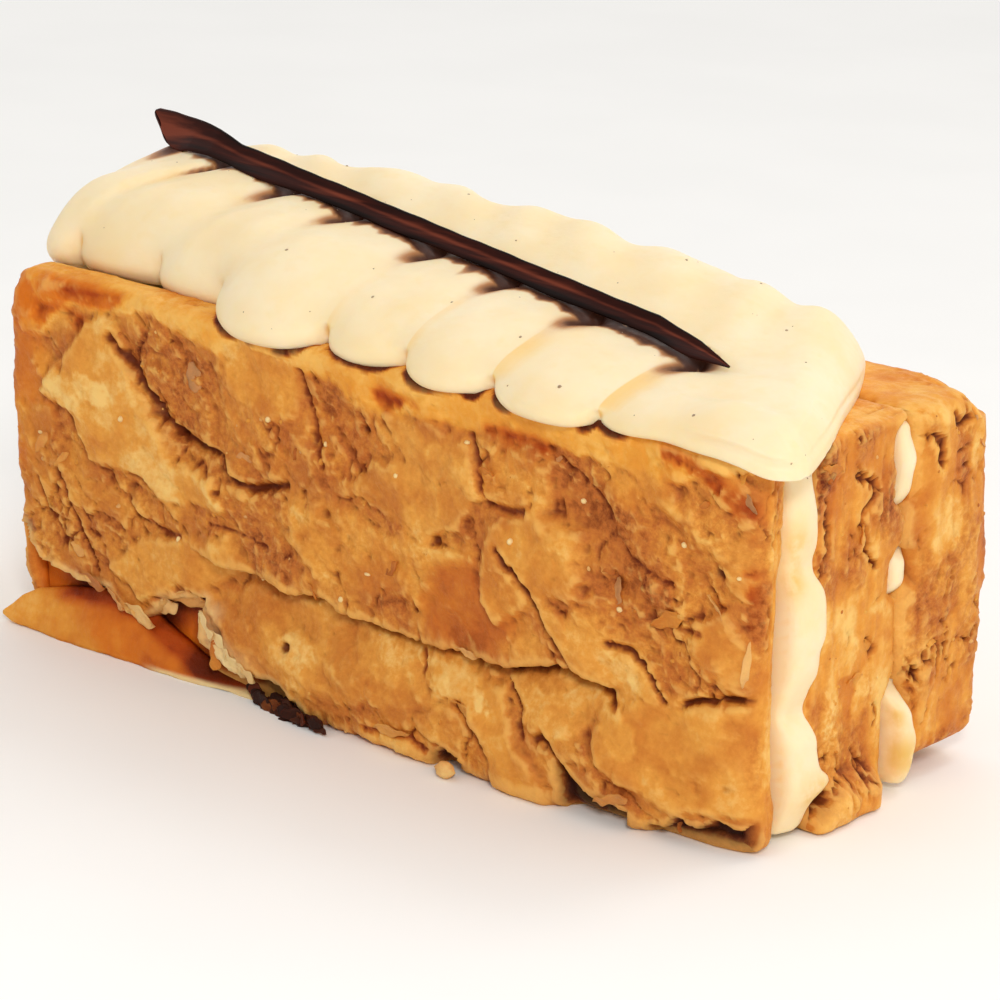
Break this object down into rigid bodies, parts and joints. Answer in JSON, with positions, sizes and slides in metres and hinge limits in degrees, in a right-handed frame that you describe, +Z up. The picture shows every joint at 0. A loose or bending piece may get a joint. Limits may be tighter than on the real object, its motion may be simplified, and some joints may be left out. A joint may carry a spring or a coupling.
{
  "type": "mille-feuille",
  "caption": "Rectangular puff pastry slice laid on its side: pastry slabs on edge with vanilla cream between them, a piped wave of cream on top and a thin chocolate blade.",
  "frame": {"origin": "middle of the footprint, at the level of the surface that it rests on", "axes": "+X along the length, towards the end where the layers show; -Y out of the browned face of the front slab; +Z up"},
  "size_m": [0.1156, 0.0474, 0.0606],
  "materials": {
    "pastry": "golden brown baked puff pastry, dry and flaky, with glossier caramelised patches",
    "cream": "smooth pale vanilla cream with a soft sheen and fine dark specks",
    "chocolate": "dark chocolate, satin"
  },
  "bodies": {
    "root": {"pastry_front": "pastry", "cream_front": "cream", "pastry_middle": "pastry", "cream_rear": "cream", "pastry_rear": "pastry", "cream_topping": "cream", "chocolate_blade": "chocolate"}
  },
  "joints": []
}
